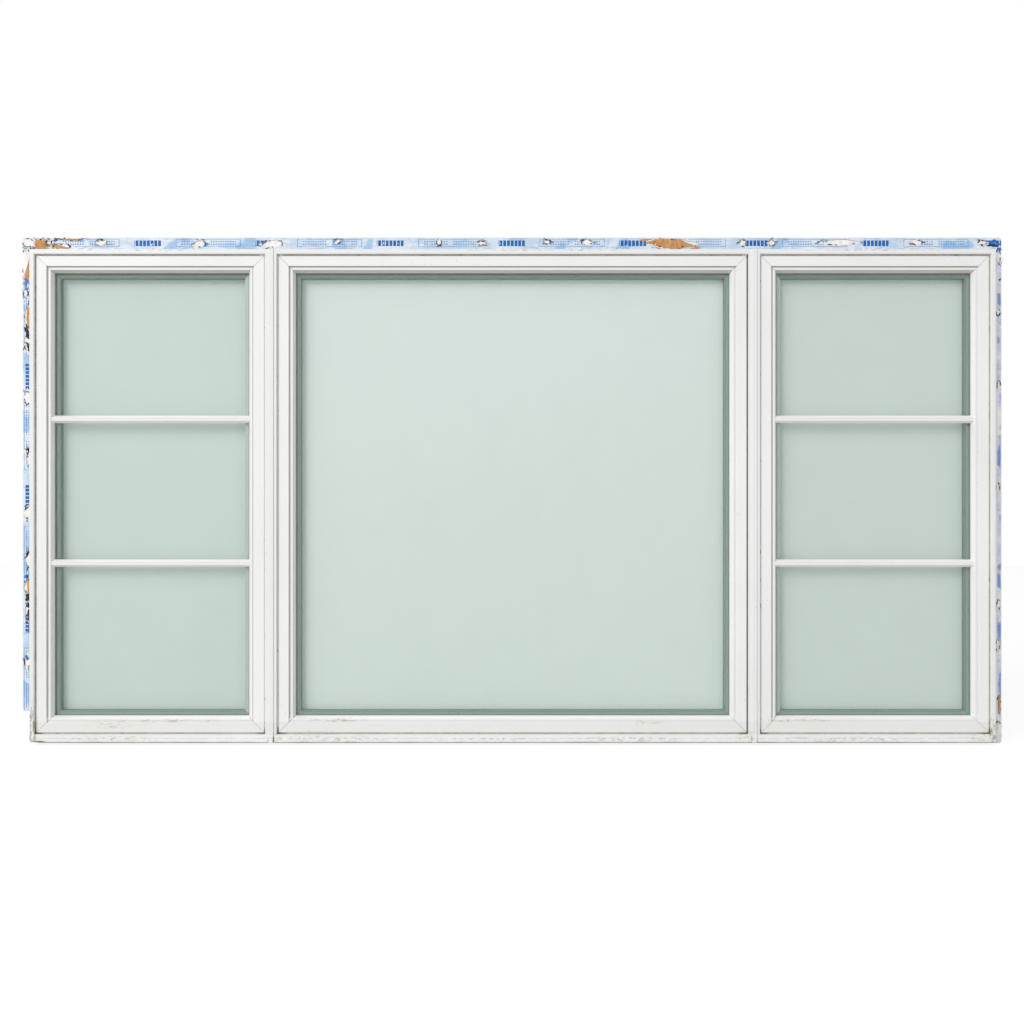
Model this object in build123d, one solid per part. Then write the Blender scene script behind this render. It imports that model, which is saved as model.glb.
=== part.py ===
# Three-light window: a wide picture light between two narrow barred lights.
# Each light has its own mitred frame, sash and sealed double pane. Two mullion
# strips join the frames, and fins round the edge fasten the unit to a wall.
# X runs along the window, Z is up and the outside faces -Y.
# The origin is the middle of the sill fin's back face, which bears on the wall.
import os
from build123d import *

# Unit
SIDE_WIDTH = 607.0
CENTRE_WIDTH = 1214.0
FRAME_HEIGHT = 1236.0
MULLION_WEB = 5.0

# Frame section: distance in from the outer edge, depth from the outer face
FRAME_DEPTH = 83.0
FRAME_FACE = 12.0
FRAME_CHAMFER = 1.0
FRAME_NOSE_RADIUS = 2.5
SILL_LIP = 8.0
SILL_LIP_DEPTH = 10.0
SILL_LIP_CORNER = 5.5
STOP_REACH = 30.0
STOP_DEPTH = 60.0
FIN_SETBACK = 35.0
KERF_DEPTH = 6.5
KERF_WIDTH = 1.2

# Sash section: distance in from the sash edge, depth from the frame's outer face
SASH_CLEARANCE = 4.0
SASH_RECESS = 6.0
SASH_FACE = 25.5
SASH_SIGHTLINE = 40.5
GROOVE_WIDTH = 4.5
GROOVE_DEPTH = 4.0
BEAD_FLAT = 5.0
BEAD_DROP = 2.0
BEAD_BEVEL_DEPTH = 11.0
BEAD_NOSE = 3.0
GLASS_POCKET = 30.0
EDGE_RADIUS = 0.8
MITRE_GAP = 0.4

# Sealed double pane
PANE_THICKNESS = 4.0
CAVITY = 18.0
PANE_COVER = 7.0
SPACER_INSET = 1.0
SPACER_SHOWN = 12.0

# Room-side glazing bead
ROOM_BEAD_LIP = 4.0
ROOM_BEAD_SLOPE = 5.0

# Bars on the outer panes of the side lights
BAR_HEIGHT = 19.0
BAR_FLAT = 9.0
BAR_SIDE = 4.0
BAR_STAND = 12.0
LOWER_BAR_RISE = 386.5
UPPER_BAR_RISE = 751.5

# Mullion strips
MULLION_FLANGE = 2.5
MULLION_OUTER_WIDTH = 13.0
MULLION_ROOM_WIDTH = 30.0

# Nailing fins
FIN_THICKNESS = 1.6
HEAD_FIN_WIDTH = 37.5
LEFT_FIN_WIDTH = 31.5
RIGHT_FIN_WIDTH = 28.5
SILL_FIN_WIDTH = 16.0
LEFT_FIN_BREAK = 66.0
FIN_CORNER = 7.0
TONGUE_DEPTH = 6.0
TONGUE_THICKNESS = 1.0
NAIL_LINE = 18.0
NAIL_RADIUS = 3.0
HEAD_NAILS = 12
HEAD_NAIL_MARGIN = 119.0
JAMB_NAILS = 6
JAMB_NAIL_MARGIN = 118.0

# Flashing tape
TAPE_THICKNESS = 1.0
TAPE_TEAR_RADIUS = 8.0

# Positions that follow from the sizes above
FRAME_WIDTH = 2 * SIDE_WIDTH + CENTRE_WIDTH + 2 * MULLION_WEB
HALF_WIDTH = FRAME_WIDTH / 2
FRAME_BOTTOM = SILL_FIN_WIDTH / 2
FRAME_TOP = FRAME_BOTTOM + FRAME_HEIGHT
FRAME_MIDDLE = (FRAME_BOTTOM + FRAME_TOP) / 2
FRONT = -FIN_SETBACK
GLASS_DEPTH = SASH_RECESS + BEAD_DROP + BEAD_BEVEL_DEPTH + BEAD_NOSE
INNER_PANE_DEPTH = GLASS_DEPTH + PANE_THICKNESS + CAVITY
ROOM_BEAD_DEPTH = INNER_PANE_DEPTH + PANE_THICKNESS
SIDE_OFFSET = (CENTRE_WIDTH + SIDE_WIDTH) / 2 + MULLION_WEB
MULLION_OFFSET = (CENTRE_WIDTH + MULLION_WEB) / 2
BEAD_EDGE = SASH_SIGHTLINE - SASH_FACE - GROOVE_WIDTH - BEAD_FLAT
LIGHTS = {
    "left": (-SIDE_OFFSET, SIDE_WIDTH),
    "centre": (0.0, CENTRE_WIDTH),
    "right": (SIDE_OFFSET, SIDE_WIDTH),
}


def save(shape, name):
    export_step(shape, f"parts/{name}.step")


def section(points, rounded, radius):
    """Face of a member's section, with the named points rounded."""
    face = make_face(Polyline(*[(FRONT + depth, inward) for inward, depth in points], close=True))
    corners = [
        vertex
        for vertex in face.vertices()
        for inward, depth in rounded
        if abs(vertex.X - FRONT - depth) < 0.01 and abs(vertex.Y - inward) < 0.01
    ]
    return Plane.YZ * fillet(corners, radius)


def frame_section(lip):
    """Section of a frame member, whose face runs out past the body by the lip."""
    kerf_front = FIN_SETBACK - FIN_THICKNESS / 2 - KERF_WIDTH / 2
    kerf_back = kerf_front + KERF_WIDTH
    points = [
        (-lip, 0),
        (FRAME_FACE - FRAME_CHAMFER, 0),
        (FRAME_FACE, FRAME_CHAMFER),
        (FRAME_FACE, STOP_DEPTH),
        (STOP_REACH, STOP_DEPTH),
        (STOP_REACH, FRAME_DEPTH),
        (0, FRAME_DEPTH),
        (0, kerf_back),
        (KERF_DEPTH, kerf_back),
        (KERF_DEPTH, kerf_front),
        (0, kerf_front),
    ]
    if lip > 0:
        points += [(0, SILL_LIP_DEPTH), (-lip, SILL_LIP_DEPTH)]
    return section(points, [(-lip, 0), (-lip, SILL_LIP_DEPTH)], FRAME_NOSE_RADIUS)


def sash_section():
    groove_end = SASH_FACE + GROOVE_WIDTH
    bead_depth = SASH_RECESS + BEAD_DROP
    points = [
        (0, SASH_RECESS),
        (SASH_FACE, SASH_RECESS),
        (SASH_FACE, SASH_RECESS + GROOVE_DEPTH),
        (groove_end, SASH_RECESS + GROOVE_DEPTH),
        (groove_end, bead_depth),
        (groove_end + BEAD_FLAT, bead_depth),
        (SASH_SIGHTLINE, GLASS_DEPTH - BEAD_NOSE),
        (SASH_SIGHTLINE, GLASS_DEPTH),
        (GLASS_POCKET, GLASS_DEPTH),
        (GLASS_POCKET, STOP_DEPTH),
        (0, STOP_DEPTH),
    ]
    rounded = [(0, SASH_RECESS), (SASH_FACE, SASH_RECESS), (groove_end + BEAD_FLAT, bead_depth)]
    return section(points, rounded, EDGE_RADIUS)


def room_bead_section():
    points = [
        (GLASS_POCKET, ROOM_BEAD_DEPTH),
        (SASH_SIGHTLINE, ROOM_BEAD_DEPTH),
        (SASH_SIGHTLINE, ROOM_BEAD_DEPTH + ROOM_BEAD_LIP),
        (SASH_SIGHTLINE - ROOM_BEAD_SLOPE, STOP_DEPTH),
        (GLASS_POCKET, STOP_DEPTH),
    ]
    return section(points, [(SASH_SIGHTLINE - ROOM_BEAD_SLOPE, STOP_DEPTH)], EDGE_RADIUS)


def mitred(profile, length, gap):
    """Straight member along X with its ends cut at 45 degrees."""
    half = length / 2 - gap / 2
    reach = SASH_SIGHTLINE + SASH_CLEARANCE
    ends = Polyline((-half, 0), (half, 0), (half - reach, reach), (reach - half, reach), close=True)
    blank = extrude(profile, length, both=True)
    return blank & extrude(Plane.XZ * make_face(ends), FRAME_DEPTH * 2, both=True)


def lipped_sill(width):
    """Sill member with a lip below it, as wide as the frame and round at its corners."""
    half = width / 2
    reach = SASH_SIGHTLINE + SASH_CLEARANCE
    outline = make_face(
        Polyline(
            (-half, -SILL_LIP),
            (half, -SILL_LIP),
            (half, 0),
            (half - reach, reach),
            (reach - half, reach),
            (-half, 0),
            close=True,
        )
    )
    outline = fillet(outline.vertices().group_by(Axis.Y)[0], SILL_LIP_CORNER)
    blank = extrude(frame_section(SILL_LIP), width, both=True)
    return blank & extrude(Plane.XZ * outline, FRAME_DEPTH * 2, both=True)


def four_sides(profile, width, height, gap, centre_x):
    """Bottom, left, top and right members of one mitred rectangle."""
    across = Pos(0, 0, -height / 2) * mitred(profile, width, gap)
    upright = Pos(0, 0, -width / 2) * mitred(profile, height, gap)
    middle = Pos(centre_x, 0, FRAME_MIDDLE)
    turns = ((across, 0), (upright, 90), (across, 180), (upright, -90))
    return [middle * Rot(0, turn, 0) * member for member, turn in turns]


def slab(width, height, thickness, depth, centre_x):
    """Upright sheet whose outer face lies at a depth behind the frame's face."""
    place = Pos(centre_x, FRONT + depth + thickness / 2, FRAME_MIDDLE)
    return place * Box(width, thickness, height)


def make_frame(name, centre_x, width):
    _, left, top, right = four_sides(frame_section(0), width, FRAME_HEIGHT, 0, centre_x)
    save(top, f"{name}_frame_head")
    save(Pos(centre_x, 0, FRAME_BOTTOM) * lipped_sill(width), f"{name}_frame_sill")
    save(left, f"{name}_frame_left_jamb")
    save(right, f"{name}_frame_right_jamb")


def make_sash(name, centre_x, sash_width, sash_height):
    bottom, left, top, right = four_sides(sash_section(), sash_width, sash_height, MITRE_GAP, centre_x)
    save(top, f"{name}_sash_top_rail")
    save(bottom, f"{name}_sash_bottom_rail")
    save(left, f"{name}_sash_left_stile")
    save(right, f"{name}_sash_right_stile")
    beads = four_sides(room_bead_section(), sash_width, sash_height, MITRE_GAP, centre_x)
    save(Compound(children=beads), f"{name}_glazing_beads")


def make_glazing(name, centre_x, sight_width, sight_height):
    width = sight_width + 2 * PANE_COVER
    height = sight_height + 2 * PANE_COVER
    save(slab(width, height, PANE_THICKNESS, GLASS_DEPTH, centre_x), f"{name}_outer_pane")
    save(slab(width, height, PANE_THICKNESS, INNER_PANE_DEPTH, centre_x), f"{name}_inner_pane")
    cavity_depth = GLASS_DEPTH + PANE_THICKNESS
    edge = slab(width - 2 * SPACER_INSET, height - 2 * SPACER_INSET, CAVITY, cavity_depth, centre_x)
    clear_width = sight_width - 2 * SPACER_SHOWN
    clear_height = sight_height - 2 * SPACER_SHOWN
    save(edge - slab(clear_width, clear_height, CAVITY, cavity_depth, centre_x), f"{name}_spacer")


def make_bar(name, centre_x, sight_width, height):
    """Bar across the outer pane, its ends cut to lie on the sash bevels."""
    front = FRONT + GLASS_DEPTH - BAR_STAND
    glass = FRONT + GLASS_DEPTH
    edge = glass - BAR_SIDE
    profile = Polyline(
        (glass, -BAR_HEIGHT / 2),
        (edge, -BAR_HEIGHT / 2),
        (front, -BAR_FLAT / 2),
        (front, BAR_FLAT / 2),
        (edge, BAR_HEIGHT / 2),
        (glass, BAR_HEIGHT / 2),
        close=True,
    )
    half = sight_width / 2
    nose = glass - BEAD_NOSE
    lap = half + BEAD_EDGE * (nose - front) / BEAD_BEVEL_DEPTH
    ends = Polyline(
        (-half, glass),
        (half, glass),
        (half, nose),
        (lap, front),
        (-lap, front),
        (-half, nose),
        close=True,
    )
    blank = extrude(Plane.YZ * make_face(profile), SIDE_WIDTH, both=True)
    bar = blank & extrude(make_face(ends), BAR_HEIGHT, both=True)
    save(Pos(centre_x, 0, height) * bar, name)


def make_light(name, centre_x, width):
    sash_inset = FRAME_FACE + SASH_CLEARANCE
    sash_width = width - 2 * sash_inset
    sash_height = FRAME_HEIGHT - 2 * sash_inset
    sight_width = sash_width - 2 * SASH_SIGHTLINE
    sight_height = sash_height - 2 * SASH_SIGHTLINE
    make_frame(name, centre_x, width)
    make_sash(name, centre_x, sash_width, sash_height)
    make_glazing(name, centre_x, sight_width, sight_height)
    if name != "centre":
        sight_bottom = FRAME_BOTTOM + sash_inset + SASH_SIGHTLINE
        make_bar(f"{name}_lower_bar", centre_x, sight_width, sight_bottom + LOWER_BAR_RISE)
        make_bar(f"{name}_upper_bar", centre_x, sight_width, sight_bottom + UPPER_BAR_RISE)


def make_mullion(name, centre_x):
    """Strip between two frames: a web with a flange over each face."""
    web = Pos(centre_x, FRONT + FRAME_DEPTH / 2, FRAME_MIDDLE) * Box(MULLION_WEB, FRAME_DEPTH, FRAME_HEIGHT)
    outer_height = FRAME_HEIGHT + SILL_LIP
    outer = Pos(centre_x, FRONT - MULLION_FLANGE / 2, FRAME_TOP - outer_height / 2) * Box(
        MULLION_OUTER_WIDTH, MULLION_FLANGE, outer_height
    )
    outer = fillet(outer.edges().filter_by(Axis.Z).group_by(Axis.Y)[0], EDGE_RADIUS)
    room = Pos(centre_x, FRONT + FRAME_DEPTH + MULLION_FLANGE / 2, FRAME_MIDDLE) * Box(
        MULLION_ROOM_WIDTH, MULLION_FLANGE, FRAME_HEIGHT
    )
    room = fillet(room.edges().filter_by(Axis.Z).group_by(Axis.Y)[-1], EDGE_RADIUS)
    save(web + outer + room, name)


def strip(low_x, high_x, low_z, high_z, front, back):
    """Flat strip between two depths."""
    middle = Pos((low_x + high_x) / 2, (front + back) / 2, (low_z + high_z) / 2)
    return middle * Box(high_x - low_x, back - front, high_z - low_z)


def nail_places(length, margin, count):
    """Even places along a member, measured from its middle."""
    pitch = (length - 2 * margin) / (count - 1)
    return [(index - (count - 1) / 2) * pitch for index in range(count)]


def nail_holes(radius, xs, zs):
    """Round holes through a fin, as one group of cutters."""
    drill = Rot(90, 0, 0) * Cylinder(radius, 8 * FIN_THICKNESS)
    return [Pos(x, 0, z) * drill for x in xs for z in zs]


def round_corner(leaf, x, z):
    """Round the one corner of a fin that is nearest to a point."""
    edge = leaf.edges().filter_by(Axis.Y).sort_by_distance(Vector(x, 0, z))[0]
    return fillet(edge, FIN_CORNER)


HEAD_NAIL_XS = nail_places(FRAME_WIDTH, HEAD_NAIL_MARGIN, HEAD_NAILS)
JAMB_NAIL_ZS = [FRAME_MIDDLE + z for z in nail_places(FRAME_HEIGHT, JAMB_NAIL_MARGIN, JAMB_NAILS)]
HEAD_NAIL_Z = FRAME_TOP + NAIL_LINE
HEAD_FIN_TOP = FRAME_TOP + HEAD_FIN_WIDTH
LEFT_NAIL_X = -HALF_WIDTH - NAIL_LINE
RIGHT_NAIL_X = HALF_WIDTH + NAIL_LINE
LEFT_EDGE = -HALF_WIDTH - LEFT_FIN_WIDTH
RIGHT_EDGE = HALF_WIDTH + RIGHT_FIN_WIDTH
LEFT_FIN_END = FRAME_BOTTOM + LEFT_FIN_BREAK
TONGUE_FRONT = -FIN_THICKNESS / 2 - TONGUE_THICKNESS / 2
TONGUE_BACK = TONGUE_FRONT + TONGUE_THICKNESS
SILL_FIN_END = FRAME_BOTTOM - SILL_FIN_WIDTH


def tongues(low_z, high_z):
    """Tongues of a head or sill fin, one in the kerf of each light's frame."""
    runs = []
    for centre_x, width in LIGHTS.values():
        half = width / 2 - TONGUE_DEPTH
        runs.append(strip(centre_x - half, centre_x + half, low_z, high_z, TONGUE_FRONT, TONGUE_BACK))
    return runs


def make_fins():
    """Thin leaves round the frame, with tongues in the frames' kerfs."""
    head = strip(LEFT_EDGE, RIGHT_EDGE, FRAME_TOP, HEAD_FIN_TOP, -FIN_THICKNESS, 0)
    head = round_corner(head, LEFT_EDGE, HEAD_FIN_TOP)
    head = round_corner(head, RIGHT_EDGE, HEAD_FIN_TOP)
    head -= nail_holes(NAIL_RADIUS, HEAD_NAIL_XS, [HEAD_NAIL_Z])
    head += tongues(FRAME_TOP - TONGUE_DEPTH, FRAME_TOP)
    save(head, "head_fin")

    left = strip(LEFT_EDGE, -HALF_WIDTH, LEFT_FIN_END, FRAME_TOP, -FIN_THICKNESS, 0)
    left = round_corner(left, LEFT_EDGE, LEFT_FIN_END)
    left -= nail_holes(NAIL_RADIUS, [LEFT_NAIL_X], JAMB_NAIL_ZS)
    inset = HALF_WIDTH - TONGUE_DEPTH
    tongue_top = FRAME_TOP - TONGUE_DEPTH
    left += strip(-HALF_WIDTH, -inset, LEFT_FIN_END, tongue_top, TONGUE_FRONT, TONGUE_BACK)
    save(left, "left_fin")

    right = strip(HALF_WIDTH, RIGHT_EDGE, SILL_FIN_END, FRAME_TOP, -FIN_THICKNESS, 0)
    right = round_corner(right, RIGHT_EDGE, SILL_FIN_END)
    right -= nail_holes(NAIL_RADIUS, [RIGHT_NAIL_X], JAMB_NAIL_ZS)
    tongue_bottom = FRAME_BOTTOM + TONGUE_DEPTH
    right += strip(inset, HALF_WIDTH, tongue_bottom, tongue_top, TONGUE_FRONT, TONGUE_BACK)
    save(right, "right_fin")

    sill = strip(-HALF_WIDTH, HALF_WIDTH, SILL_FIN_END, FRAME_BOTTOM, -FIN_THICKNESS, 0)
    sill = round_corner(sill, -HALF_WIDTH, SILL_FIN_END)
    sill += tongues(FRAME_BOTTOM, tongue_bottom)
    save(sill, "sill_fin")


def make_tape():
    """Tape stuck to the fins' outer faces, torn open round each nail."""
    front = -FIN_THICKNESS - TAPE_THICKNESS
    back = -FIN_THICKNESS
    head = strip(LEFT_EDGE, RIGHT_EDGE, FRAME_TOP, HEAD_FIN_TOP, front, back)
    head = round_corner(head, LEFT_EDGE, HEAD_FIN_TOP)
    head = round_corner(head, RIGHT_EDGE, HEAD_FIN_TOP)
    save(head - nail_holes(TAPE_TEAR_RADIUS, HEAD_NAIL_XS, [HEAD_NAIL_Z]), "head_tape")

    left = strip(LEFT_EDGE, -HALF_WIDTH, LEFT_FIN_END, FRAME_TOP, front, back)
    left = round_corner(left, LEFT_EDGE, LEFT_FIN_END)
    save(left - nail_holes(TAPE_TEAR_RADIUS, [LEFT_NAIL_X], JAMB_NAIL_ZS), "left_tape")

    right = strip(HALF_WIDTH, RIGHT_EDGE, SILL_FIN_END, FRAME_TOP, front, back)
    right = round_corner(right, RIGHT_EDGE, SILL_FIN_END)
    save(right - nail_holes(TAPE_TEAR_RADIUS, [RIGHT_NAIL_X], JAMB_NAIL_ZS), "right_tape")


os.makedirs("parts", exist_ok=True)
for light_name, (light_x, light_width) in LIGHTS.items():
    make_light(light_name, light_x, light_width)
make_mullion("left_mullion", -MULLION_OFFSET)
make_mullion("right_mullion", MULLION_OFFSET)
make_fins()
make_tape()
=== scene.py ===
# %% [markdown]
# # A three-light window unit
#
# The object is a white vinyl window with three fixed lights side by side, taken out of a wall.
# Thin nailing fins stand out round the frame, and torn pieces of flashing tape still stick to them.
# The solids come ready made, so this lesson gives them finishes and adds the thin torn pieces
# that a solid model has no reason to carry.

# %% Load the solids
import math
import random

import bmesh
import bpy
from mathutils import Matrix, Vector, noise


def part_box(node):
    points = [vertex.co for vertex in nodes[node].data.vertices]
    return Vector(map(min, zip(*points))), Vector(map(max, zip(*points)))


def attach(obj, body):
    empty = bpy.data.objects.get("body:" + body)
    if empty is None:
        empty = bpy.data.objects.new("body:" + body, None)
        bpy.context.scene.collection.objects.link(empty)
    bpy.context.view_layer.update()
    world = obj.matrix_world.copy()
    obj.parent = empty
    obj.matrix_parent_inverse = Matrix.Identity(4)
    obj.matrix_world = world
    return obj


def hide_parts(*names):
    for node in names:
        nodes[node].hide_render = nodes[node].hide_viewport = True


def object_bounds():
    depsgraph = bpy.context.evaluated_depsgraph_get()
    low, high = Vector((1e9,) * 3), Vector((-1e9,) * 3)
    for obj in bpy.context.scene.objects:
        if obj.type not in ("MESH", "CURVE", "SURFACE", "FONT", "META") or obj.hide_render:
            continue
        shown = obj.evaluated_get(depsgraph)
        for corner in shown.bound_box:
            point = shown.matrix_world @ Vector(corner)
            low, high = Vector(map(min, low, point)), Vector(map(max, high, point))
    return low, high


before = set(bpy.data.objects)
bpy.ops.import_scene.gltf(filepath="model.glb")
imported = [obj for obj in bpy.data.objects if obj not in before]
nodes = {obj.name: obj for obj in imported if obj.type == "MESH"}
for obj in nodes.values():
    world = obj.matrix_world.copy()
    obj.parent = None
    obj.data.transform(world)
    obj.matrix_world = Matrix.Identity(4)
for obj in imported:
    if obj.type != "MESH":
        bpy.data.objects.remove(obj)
cad_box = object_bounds()
scene = bpy.context.scene
print(len(nodes), "solids, in a box from", cad_box[0], "to", cad_box[1])

# %% [markdown]
# ## Camera
#
# The picture is taken square on, a little below the middle of the window.
# The widths of the side faces that show inside the left and right frames give the distance,
# and the distance with the width of the unit gives the lens.

# %% Place the camera
camera_data = bpy.data.cameras.new("front_camera")
camera_data.sensor_width = 36.0
camera_data.lens = 37.66
camera = bpy.data.objects.new("front_camera", camera_data)
camera.location = (-0.0016, -2.735, 0.581)
camera.rotation_euler = (math.radians(90.0), 0.0, 0.0)
scene.collection.objects.link(camera)
scene.camera = camera
scene.view_settings.view_transform = "Standard"
print("camera at", tuple(camera.location), "with a lens of", camera_data.lens, "mm")

# %% [markdown]
# ## Shader arithmetic
#
# A finish is a small network of nodes, and most of it is plain arithmetic on masks.
# Wrapping a socket in a class lets the arithmetic be written as it is read:
# `1 - mask` or `grain * 0.2` add the Math nodes themselves.
# Every other node comes from one method, `make`.

# %% A socket that can be calculated with
class Wire:
    """One output socket of a material's node tree."""

    def __init__(self, tree, socket):
        self.tree = tree
        self.socket = socket

    def make(self, kind, settings, inputs, output=0):
        node = self.tree.nodes.new(kind)
        for name, value in settings.items():
            setattr(node, name, value)
        for name, value in inputs.items():
            if isinstance(value, Wire):
                self.tree.links.new(value.socket, node.inputs[name])
            else:
                node.inputs[name].default_value = value
        return Wire(self.tree, node.outputs[output])

    def math(self, operation, first, second=0.0):
        return self.make("ShaderNodeMath", {"operation": operation}, {0: first, 1: second})

    def __add__(self, other):
        return self.math("ADD", self, other)

    def __radd__(self, other):
        return self.math("ADD", other, self)

    def __sub__(self, other):
        return self.math("SUBTRACT", self, other)

    def __rsub__(self, other):
        return self.math("SUBTRACT", other, self)

    def __mul__(self, other):
        return self.math("MULTIPLY", self, other)

    def __rmul__(self, other):
        return self.math("MULTIPLY", other, self)

    def __gt__(self, other):
        return self.math("GREATER_THAN", self, other)

    def __lt__(self, other):
        return self.math("LESS_THAN", self, other)

    def __or__(self, other):
        return self.math("MAXIMUM", self, other)

    def fraction(self):
        return self.math("FRACT", self)

    def rise(self, low, high):
        """0 below low, 1 above high, and a soft slope between them."""
        settings = {"interpolation_type": "SMOOTHSTEP"}
        return self.make("ShaderNodeMapRange", settings, {"Value": self, 1: low, 2: high})

    def stretch(self, x, y, z):
        return self.make("ShaderNodeVectorMath", {"operation": "MULTIPLY"}, {0: self, 1: (x, y, z)})

    def axis(self, letter):
        return self.make("ShaderNodeSeparateXYZ", {}, {0: self}, "XYZ".index(letter))

    def cloud(self, scale, detail=3.0, roughness=0.5):
        inputs = {"Vector": self, "Scale": scale, "Detail": detail, "Roughness": roughness}
        return self.make("ShaderNodeTexNoise", {}, inputs, 0)

    def spots(self, scale):
        return self.make("ShaderNodeTexVoronoi", {}, {"Vector": self, "Scale": scale}, "Distance")

    def facets(self, scale):
        """Distance to the nearest edge of a net of uneven cells."""
        settings = {"feature": "DISTANCE_TO_EDGE"}
        return self.make("ShaderNodeTexVoronoi", settings, {"Vector": self, "Scale": scale}, "Distance")

    def near(self, x, z, half_x, half_z):
        """1 at a place on the front, fading to 0 at the half sizes round it."""
        offset = self.make("ShaderNodeVectorMath", {"operation": "SUBTRACT"}, {0: self, 1: (x, 0.0, z)})
        scaled = offset.stretch(1.0 / half_x, 0.0, 1.0 / half_z)
        reach = scaled.make("ShaderNodeVectorMath", {"operation": "LENGTH"}, {0: scaled}, "Value")
        return 1.0 - reach.rise(0.3, 1.0)

    def blend(self, first, second):
        """The first colour where this mask is 0, and the second where it is 1."""
        inputs = {0: self, 6: first, 7: second}
        return self.make("ShaderNodeMix", {"data_type": "RGBA"}, inputs, 2)

    def tint(self, mask, colour):
        """This colour, turned into the other where the mask is 1."""
        return mask.blend(self, colour)


print("a wire knows", len(vars(Wire)), "names")

# %% [markdown]
# ## Colours and materials
#
# Colours are written as they are read off a screen and turned into light here.
# Every finish but clear glass begins as an empty material and ends in one Principled shader,
# with a bump for what is too fine for geometry.
# Two helpers keep those lines out of the finishes.

# %% Colours, empty materials and the closing shader
def between(wire, low, high):
    return (wire > low) * (wire < high)


def rgb(red, green, blue):
    """A colour as it is read off a screen, from 0 to 255, turned into light."""
    levels = [value / 255.0 for value in (red, green, blue)]
    return tuple(((v + 0.055) / 1.055) ** 2.4 if v > 0.04045 else v / 12.92 for v in levels)


def rgba(red, green, blue):
    return (*rgb(red, green, blue), 1.0)


def blank_material(name):
    """An empty material, with the wire of its object coordinates and its output node."""
    material = bpy.data.materials.new(name)
    material.use_nodes = True
    tree = material.node_tree
    tree.nodes.clear()
    out = tree.nodes.new("ShaderNodeOutputMaterial")
    place = tree.nodes.new("ShaderNodeTexCoord")
    return material, Wire(tree, place.outputs["Object"]), out


def finish_surface(material, start, out, inputs, height, depth):
    """Close a material with a Principled shader and a bump of the given depth in metres."""
    relief = {"Height": height, "Strength": 1.0, "Distance": depth}
    bump = start.make("ShaderNodeBump", {}, relief)
    shader = start.make("ShaderNodeBsdfPrincipled", {}, {**inputs, "Normal": bump})
    material.node_tree.links.new(shader.socket, out.inputs["Surface"])
    print(material.name, "has", len(material.node_tree.nodes), "nodes")


print("a screen's middle grey is", round(rgb(128, 128, 128)[0], 3), "as light")

# %% [markdown]
# ## Stage
#
# The unit stands on a plain white floor. A picture cut out on white needs a floor that looks white
# and still takes a shadow, so white paint is mixed with a glow that only the eye, mirrors and glass see.

# %% Floor
FLOOR_HALF = 9.0
FLOOR_GLOW = 1.12
FLOOR_SHARE = 0.75
WHITE = (1.0, 1.0, 1.0, 1.0)
DIRECT_RAYS = ("Is Camera Ray", "Is Glossy Ray", "Is Transmission Ray")


def make_floor():
    mesh = bpy.data.meshes.new("floor")
    shape = bmesh.new()
    bmesh.ops.create_grid(shape, x_segments=1, y_segments=1, size=FLOOR_HALF)
    bmesh.ops.translate(shape, verts=shape.verts, vec=(0.0, 0.0, cad_box[0][2]))
    shape.to_mesh(mesh)
    shape.free()
    floor = bpy.data.objects.new("floor", mesh)
    scene.collection.objects.link(floor)
    material, start, out = blank_material("floor_white")
    path = start.make("ShaderNodeLightPath", {}, {}).socket.node
    seen, glossy, through = (Wire(start.tree, path.outputs[kind]) for kind in DIRECT_RAYS)
    paint = start.make("ShaderNodeBsdfDiffuse", {}, {"Color": (0.8, 0.8, 0.8, 1.0)})
    glow = start.make("ShaderNodeEmission", {}, {"Color": WHITE, "Strength": FLOOR_GLOW})
    share = (seen | glossy | through) * FLOOR_SHARE
    mixed = start.make("ShaderNodeMixShader", {}, {0: share, 1: paint, 2: glow})
    material.node_tree.links.new(mixed.socket, out.inputs["Surface"])
    mesh.materials.append(material)


make_floor()
print("floor at z", round(cad_box[0][2], 4))

# %% [markdown]
# ## Surround
#
# The surround is white to the eye, but lights the unit at about half that level,
# so the shaded sides of the profiles stay grey. A brighter sky would wash them out.

# %% White surround
def make_surround(level):
    world = bpy.data.worlds.new("white_surround")
    scene.world = world
    world.use_nodes = True
    tree = world.node_tree
    tree.nodes.clear()
    path = tree.nodes.new("ShaderNodeLightPath")
    seen, glossy, through = (Wire(tree, path.outputs[kind]) for kind in DIRECT_RAYS)
    strength = level + (1.0 - level) * (seen | glossy | through)
    sky = seen.make("ShaderNodeBackground", {}, {"Color": WHITE, "Strength": strength})
    out = tree.nodes.new("ShaderNodeOutputWorld")
    tree.links.new(sky.socket, out.inputs["Surface"])


make_surround(level=0.56)
print("surround has", len(scene.world.node_tree.nodes), "nodes")

# %% [markdown]
# ## Key lamp
#
# One wide soft lamp far off at the upper left draws the shadows along the beads.
# A sun would give parallel light, but a far lamp lets it fall off a little towards the lower right.

# %% Soft key lamp
LAMP_AIM_HEIGHT = 0.62


def make_key_lamp(towards, distance, strength, spread):
    """Large square lamp far off, its strength given as light falling on the unit."""
    aim = Vector(towards).normalized()
    lamp_data = bpy.data.lights.new("soft_key", "AREA")
    lamp_data.size = 2.0 * distance * math.tan(spread / 2)
    lamp_data.energy = strength * math.pi * distance ** 2
    lamp = bpy.data.objects.new("soft_key", lamp_data)
    lamp.rotation_euler = aim.to_track_quat("-Z", "Y").to_euler()
    lamp.location = Vector((0.0, 0.0, LAMP_AIM_HEIGHT)) - aim * distance
    scene.collection.objects.link(lamp)


make_key_lamp(towards=(0.82, 1.0, -0.86), distance=22.0, strength=1.86, spread=0.54)

# %% [markdown]
# ## White vinyl
#
# The profiles are extruded white vinyl with a slight sheen.
# After years outdoors the white is a little uneven, with grey scuffs and specks,
# and rain has left brown marks on the lowest rails and along the sill.
# All of it comes from noise on object coordinates, stretched along the pieces that it marks.

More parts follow.
